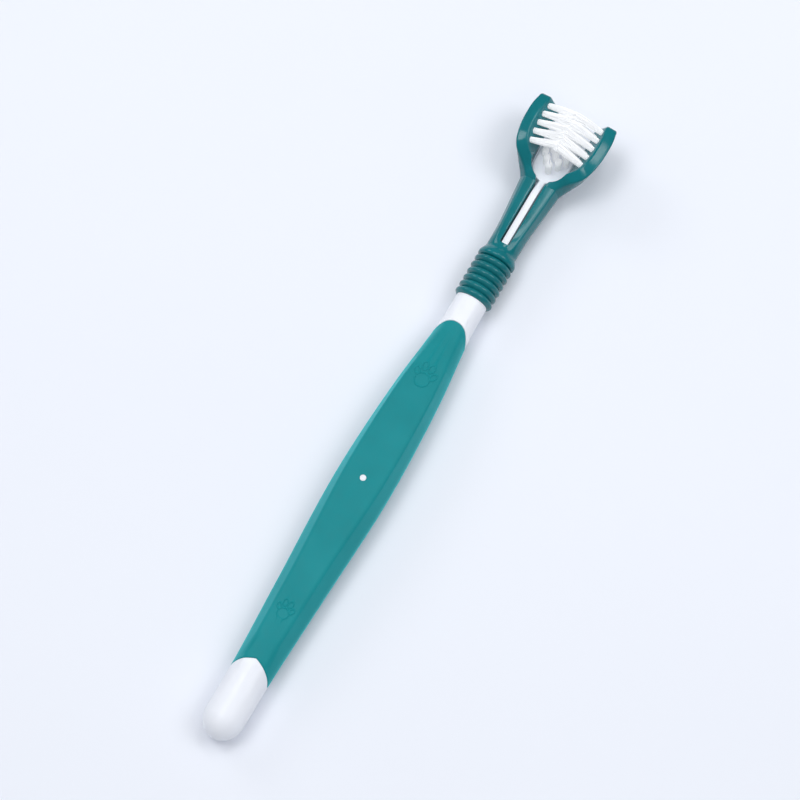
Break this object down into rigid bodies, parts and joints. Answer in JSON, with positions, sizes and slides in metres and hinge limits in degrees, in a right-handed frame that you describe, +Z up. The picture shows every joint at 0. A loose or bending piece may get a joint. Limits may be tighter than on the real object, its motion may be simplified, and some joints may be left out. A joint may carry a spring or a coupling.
{
  "type": "pet toothbrush",
  "caption": "Slim pet toothbrush with a soft grip, a ribbed flexible neck and a three-sided head: two curved side arms and a centre paddle, all with bristle tufts.",
  "frame": {"origin": "on the surface the brush lies on, under the middle of its overall box", "axes": "+X along the brush from the butt to the head, +Z up out of the flat top with the bristles, +Y to the brush's left"},
  "size_m": [0.205, 0.026, 0.0193],
  "materials": {
    "white_plastic": "semi-gloss moulded polypropylene, cool white",
    "grip_elastomer": "satin teal thermoplastic elastomer",
    "sleeve_elastomer": "smooth, slightly glossy dark teal elastomer",
    "head_plastic": "glossy dark teal moulded plastic",
    "nylon": "white nylon filaments"
  },
  "bodies": {
    "handle": {"handle_core": "white_plastic", "grip_overmould": "grip_elastomer", "neck_sleeve": "sleeve_elastomer"},
    "head": {"fork_root": "head_plastic"},
    "left_arm": {"arm_left": "head_plastic", "left_tuft_01": "nylon", "left_tuft_02": "nylon", "left_tuft_03": "nylon", "left_tuft_04": "nylon", "left_tuft_05": "nylon", "left_tuft_06": "nylon", "left_tuft_07": "nylon", "left_tuft_08": "nylon", "left_tuft_09": "nylon"},
    "right_arm": {"arm_right": "head_plastic", "right_tuft_01": "nylon", "right_tuft_02": "nylon", "right_tuft_03": "nylon", "right_tuft_04": "nylon", "right_tuft_05": "nylon", "right_tuft_06": "nylon", "right_tuft_07": "nylon", "right_tuft_08": "nylon", "right_tuft_09": "nylon"},
    "centre": {"centre_brush": "white_plastic", "centre_tuft_01": "nylon", "centre_tuft_02": "nylon", "centre_tuft_03": "nylon", "centre_tuft_04": "nylon", "centre_tuft_05": "nylon", "centre_tuft_06": "nylon", "centre_tuft_07": "nylon", "centre_tuft_08": "nylon", "centre_tuft_09": "nylon", "centre_tuft_10": "nylon", "centre_tuft_11": "nylon", "centre_tuft_12": "nylon", "centre_tuft_13": "nylon"}
  },
  "joints": [
    {"name": "neck_flex", "type": "hinge", "parent": "handle", "child": "head", "pos_m": [0.0475, 0, 0.0062], "axis": [0, 1, 0], "range_deg": [-10, 10], "stiffness_Nm_per_rad": 0.25, "deforming": ["neck_sleeve"]},
    {"name": "left_arm_spread", "type": "hinge", "parent": "head", "child": "left_arm", "pos_m": [0.07935, 0.00625, 0.0062], "axis": [0, 0, 1], "range_deg": [0, 5], "stiffness_Nm_per_rad": 0.08},
    {"name": "right_arm_spread", "type": "hinge", "parent": "head", "child": "right_arm", "pos_m": [0.07935, -0.00625, 0.0062], "axis": [0, 0, -1], "range_deg": [0, 5], "stiffness_Nm_per_rad": 0.08},
    {"name": "centre_press", "type": "hinge", "parent": "head", "child": "centre", "pos_m": [0.0535, 0, 0.0078], "axis": [0, 1, 0], "range_deg": [-1, 3], "stiffness_Nm_per_rad": 0.08}
  ]
}
